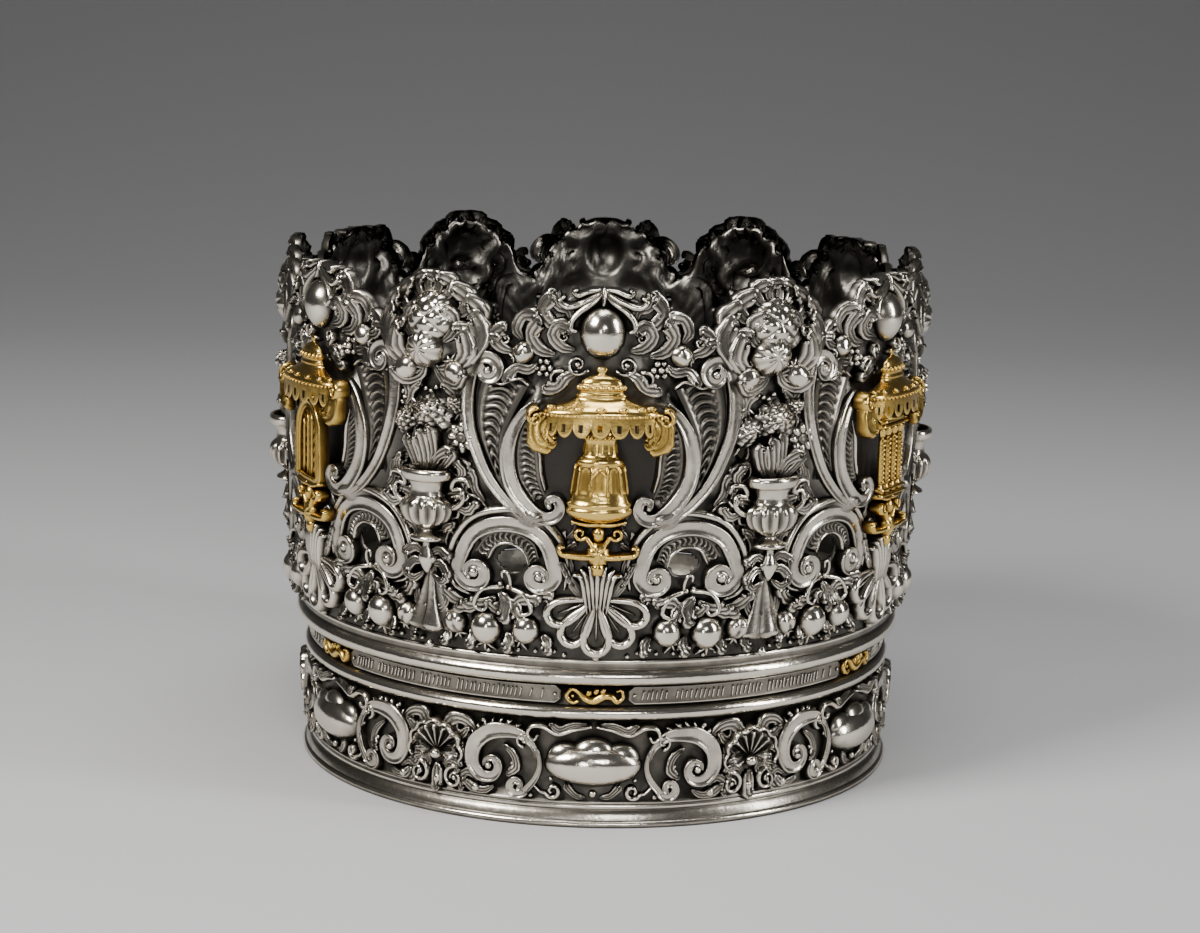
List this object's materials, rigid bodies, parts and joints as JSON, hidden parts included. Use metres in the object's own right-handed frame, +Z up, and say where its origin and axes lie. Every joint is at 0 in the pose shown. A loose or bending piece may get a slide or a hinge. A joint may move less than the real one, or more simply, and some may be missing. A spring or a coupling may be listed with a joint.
{
  "type": "torah crown",
  "caption": "Open silver Torah crown of repousse sheet on a banded base, with scrolls, crests, applied vases, and gilt canopies and emblems.",
  "frame": {"origin": "on the crown's axis at the underside of the foot", "axes": "+Z up along the crown's axis, the first cartouche facing -Y"},
  "size_m": [0.2938, 0.294, 0.219],
  "materials": {
    "silver": "bright silver with darkened recesses",
    "oxidised_silver": "chased silver, dark in the recesses",
    "gilt": "gilt silver, worn"
  },
  "bodies": {
    "root": {"base_band": "silver", "crown_wall": "oxidised_silver", "gilt_canopy_1": "gilt", "gilt_emblem_1": "gilt", "flower_vase_1": "silver", "inscription_plate_1": "silver", "gilt_scroll_mount_1": "gilt", "gilt_canopy_2": "gilt", "gilt_emblem_2": "gilt", "flower_vase_2": "silver", "inscription_plate_2": "silver", "gilt_scroll_mount_2": "gilt", "gilt_canopy_3": "gilt", "gilt_emblem_3": "gilt", "flower_vase_3": "silver", "inscription_plate_3": "silver", "gilt_scroll_mount_3": "gilt", "gilt_canopy_4": "gilt", "gilt_emblem_4": "gilt", "flower_vase_4": "silver", "inscription_plate_4": "silver", "gilt_scroll_mount_4": "gilt", "gilt_canopy_5": "gilt", "gilt_emblem_5": "gilt", "flower_vase_5": "silver", "inscription_plate_5": "silver", "gilt_scroll_mount_5": "gilt", "gilt_canopy_6": "gilt", "gilt_emblem_6": "gilt", "flower_vase_6": "silver", "inscription_plate_6": "silver", "gilt_scroll_mount_6": "gilt"}
  },
  "joints": []
}
